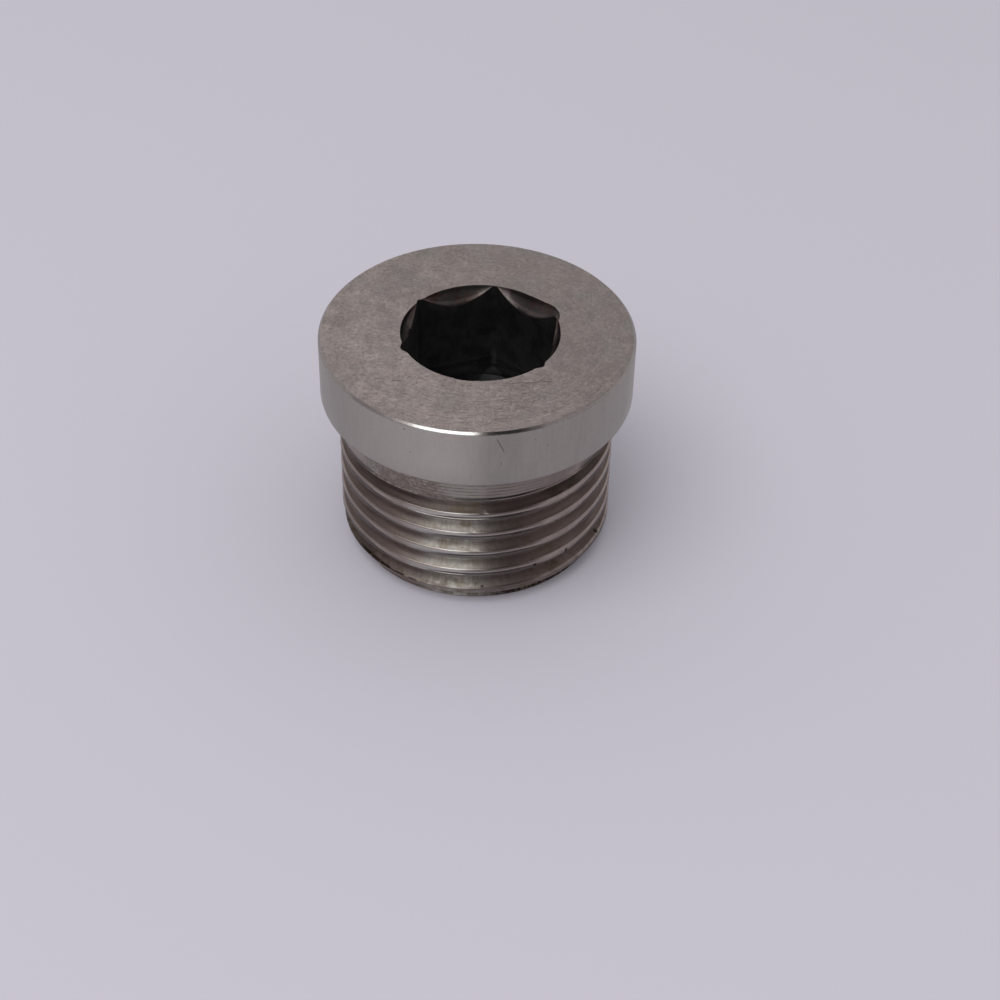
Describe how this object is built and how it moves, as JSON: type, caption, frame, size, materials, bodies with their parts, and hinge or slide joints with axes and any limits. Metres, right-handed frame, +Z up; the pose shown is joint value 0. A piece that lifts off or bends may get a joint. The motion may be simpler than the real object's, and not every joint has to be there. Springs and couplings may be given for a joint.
{
  "type": "hex socket plug",
  "caption": "One-piece turned steel screw plug: a round collar over a parallel pipe thread, driven by a hexagonal socket in its flat head, for closing a threaded port.",
  "frame": {"origin": "centre of the flat thread end, the face that the plug stands on", "axes": "+Z up along the plug's axis, from the thread end to the head; two corners of the socket's hexagon lie on +Y and -Y"},
  "size_m": [0.023, 0.023, 0.0175],
  "materials": {
    "plug_steel": "satin turned steel, lightly worn, dark in the thread roots and in the socket"
  },
  "bodies": {
    "root": {"plug_body": "plug_steel"}
  },
  "joints": []
}
